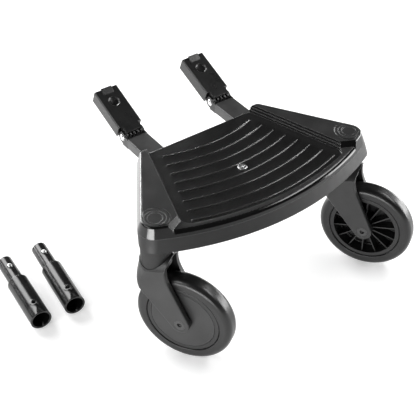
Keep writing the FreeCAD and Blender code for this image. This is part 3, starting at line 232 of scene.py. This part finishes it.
def moulded(name, level, roughness, grain=FINE_GRAIN, grain_depth=0.05, mottle=0.25, wear_and_highlight=2.0,
            specular=0.5, metallic=0.0, zones=()):
    """A moulded or coated surface: mottled shade, smeared gloss, fine grain, and paler edges that are part
    real wear and part painted highlight.

    A zone is a mask with the shade, roughness, depth of grain and shade of specks that it brings.
    """
    material, tree, shader = new_material(name)
    shader.inputs["Metallic"].default_value = metallic
    shader.inputs["Specular IOR Level"].default_value = specular
    patches = noise(tree, MOTTLE, MOTTLE_DETAIL)
    smears = noise(tree, SMEAR, SMEAR_DETAIL)

    shade = varied(tree, patches, level, mottle)
    gloss = varied(tree, smears, roughness, GLOSS_SPREAD)
    depth = grain_depth
    for zone in zones:
        inside = zone["mask"](tree)
        specks = ramp(tree, noise(tree, SPECK, SPECK_DETAIL), SPECK_START, SPECK_FULL)
        zone_shade = mixed(tree, specks, varied(tree, patches, zone["level"], mottle), zone["speck_level"])
        shade = mixed(tree, inside, shade, zone_shade)
        gloss = mixed(tree, inside, gloss, varied(tree, smears, zone["roughness"], GLOSS_SPREAD))
        depth = mixed(tree, inside, depth, zone["grain_depth"])

    rounded, edge = edge_mask(tree)
    # Edges made paler by a factor of the shade: part real wear, part painted highlight along the edges
    shade = mixed(tree, edge, shade, level * wear_and_highlight)
    colour = add_node(tree, "ShaderNodeCombineColor")
    for channel in ("Red", "Green", "Blue"):
        tree.links.new(shade, colour.inputs[channel])
    tree.links.new(colour.outputs["Color"], shader.inputs["Base Color"])
    tree.links.new(gloss, shader.inputs["Roughness"])

    bump = add_node(tree, "ShaderNodeBump", Distance=grain)
    feed(tree, depth, bump.inputs["Strength"])
    tree.links.new(noise(tree, grain, GRAIN_DETAIL), bump.inputs["Height"])
    tree.links.new(rounded, bump.inputs["Normal"])
    tree.links.new(bump.outputs["Normal"], shader.inputs["Normal"])
    return material


def bright_metal(name, level, roughness):
    """Plated metal with a very fine grain."""
    return moulded(name, level, roughness, grain=FINE_GRAIN / 2, grain_depth=0.03, mottle=0.06, wear_and_highlight=1.1,
                   metallic=1.0)


SHELL_ZONES = (
    {"mask": low_deck, "level": DECK_GREY, "roughness": 0.35, "grain_depth": 0.20,
     "speck_level": DECK_SPECK},
    {"mask": steep, "level": LIP_GREY, "roughness": 0.12, "grain_depth": 0.01,
     "speck_level": LIP_GREY},
)

# Edge factors well above real wear paint highlights onto edges: the shell's terraces and rims, the block's
# chamfers, the bar's edges
MATERIALS = {
    "shell": moulded("shell_black", WING_GREY, roughness=0.37, grain=COARSE_GRAIN, grain_depth=0.10,
                     wear_and_highlight=7.0, specular=0.42, zones=SHELL_ZONES),
    "strip": moulded("grip_strip", STRIP_GREY, roughness=0.15, grain_depth=0.01, specular=1.0),
    "frame": moulded("frame_grey", FRAME_GREY, roughness=0.50, grain_depth=0.04, specular=0.45),
    "block": moulded("block_black", BLOCK_GREY, roughness=0.30, grain=COARSE_GRAIN, grain_depth=0.14,
                     wear_and_highlight=5.0, specular=0.38),
    "bar": moulded("bar_black", BAR_GREY, roughness=0.36, grain_depth=0.06, wear_and_highlight=3.0),
    "fork": moulded("fork_grey", FORK_GREY, roughness=0.40, grain_depth=0.06),
    "cover": moulded("cover_grey", COVER_GREY, roughness=0.40, grain_depth=0.06),
    "rim": moulded("rim_black", RIM_GREY, roughness=0.42, grain_depth=0.06),
    "tyre": moulded("tyre_rubber", TYRE_GREY, roughness=0.32),
    # Bolt heads: the high edge factor paints a pale highlight ring round each head
    "bolt": moulded("bolt_black", BOLT_GREY, roughness=0.18, grain_depth=0.02, wear_and_highlight=14.0, specular=1.0),
    "bush": moulded("bush_plastic", BUSH_GREY, roughness=0.50),
    "adapter": moulded("adapter_gloss", ADAPTER_GREY, roughness=0.22, grain=COARSE_GRAIN, grain_depth=0.02),
    "steel": bright_metal("plated_steel", STEEL_GREY, roughness=0.30),
    "rivet": bright_metal("bright_rivet", RIVET_GREY, roughness=0.14),
}

# The material of each node, by how the node's name ends
NODE_MATERIALS = {
    "deck_shell": "shell", "grip_strips": "strip", "lower_frame": "frame", "pivot_cap": "shell",
    "arm_bar": "bar", "bar_knuckle": "block", "socket_block": "block", "hinge_rivet": "rivet",
    "fork": "fork", "tyre": "tyre", "wheel_rim": "rim", "wheel_cover": "cover", "axle_bolt": "bolt",
    "axle_nut": "bolt", "swivel_bushes": "bush", "hub_bushes": "bush", "adapter_tube": "adapter",
}


def dress_nodes():
    """Give every node its material; what has none of its own is plated steel."""
    for name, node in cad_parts.items():
        ending = next((key for key in NODE_MATERIALS if name.endswith(key)), None)
        material = MATERIALS[NODE_MATERIALS.get(ending, "steel")]
        node.data.materials.clear()
        node.data.materials.append(material)


def make_button_strip(side):
    """The bent strip under a snap button, copied onto the adapter's body in place of its node."""
    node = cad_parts[side + "_button_spring"]
    strip = bpy.data.objects.new(side + "_button_strip", node.data.copy())
    bpy.context.scene.collection.objects.link(strip)
    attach(strip, side + "_adapter")
    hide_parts(node.name)
    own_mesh(strip)


def floor_material():
    """White that takes soft shadows, glows to the eye and in mirrors, and goes all white far off."""
    material, tree, shader = new_material("studio_floor")
    shader.inputs["Base Color"].default_value = grey(FLOOR_GREY)
    shader.inputs["Roughness"].default_value = FLOOR_ROUGHNESS
    shader.inputs["Specular IOR Level"].default_value = 0.0
    shader.inputs["Emission Color"].default_value = grey(1.0)
    path = add_node(tree, "ShaderNodeLightPath")
    seen = path.outputs["Is Camera Ray"]
    for ray in ("Is Glossy Ray", "Is Transmission Ray"):
        seen = combined(tree, "MAXIMUM", seen, path.outputs[ray])
    coords = add_node(tree, "ShaderNodeTexCoord")
    distance = add_node(tree, "ShaderNodeVectorMath", operation="LENGTH")
    tree.links.new(coords.outputs["Object"], distance.inputs[0])
    far = ramp(tree, distance.outputs["Value"], GLOW_START, GLOW_END)
    glow = combined(tree, "MULTIPLY", seen, mixed(tree, far, NEAR_GLOW, FAR_GLOW))
    tree.links.new(glow, shader.inputs["Emission Strength"])
    return material


def make_floor():
    mesh = bpy.data.meshes.new("floor")
    half = FLOOR_HALF
    corners = [(-half, -half, 0), (half, -half, 0), (half, half, 0), (-half, half, 0)]
    mesh.from_pydata(corners, [], [(0, 1, 2, 3)])
    mesh.materials.append(floor_material())
    floor = bpy.data.objects.new("floor", mesh)
    bpy.context.scene.collection.objects.link(floor)


def make_light(name, towards, distance, size, power):
    data = bpy.data.lights.new(name, "AREA")
    data.shape = "RECTANGLE"
    data.size, data.size_y = size
    data.energy = power
    light = bpy.data.objects.new(name, data)
    direction = Vector(towards).normalized()
    light.location = KIT_MIDDLE + direction * distance
    light.rotation_euler = (-direction).to_track_quat("-Z", "Y").to_euler()
    bpy.context.scene.collection.objects.link(light)


def make_world():
    """A dim even surround."""
    world = bpy.data.worlds.new("studio")
    bpy.context.scene.world = world
    world.use_nodes = True
    background = world.node_tree.nodes["Background"]
    background.inputs["Color"].default_value = grey(1.0)
    background.inputs["Strength"].default_value = WORLD_LEVEL


def make_camera():
    """The camera at the photograph's place and angle."""
    data = bpy.data.cameras.new("camera")
    data.sensor_width = SENSOR_WIDTH
    data.lens = CAMERA_LENS
    camera = bpy.data.objects.new("camera", data)
    azimuth = math.radians(CAMERA_AZIMUTH)
    elevation = math.radians(CAMERA_ELEVATION)
    back = Vector((math.sin(azimuth) * math.cos(elevation), -math.cos(azimuth) * math.cos(elevation),
                   math.sin(elevation)))
    camera.location = CAMERA_PLACE
    camera.rotation_euler = (-back).to_track_quat("-Z", "Y").to_euler()
    bpy.context.scene.collection.objects.link(camera)
    bpy.context.scene.camera = camera


dress_nodes()
for side in ("left", "right"):
    make_button_strip(side)
make_floor()
for light_name, light in LIGHTS.items():
    make_light(light_name, **light)
make_world()
make_camera()
bpy.context.scene.view_settings.view_transform = "Standard"
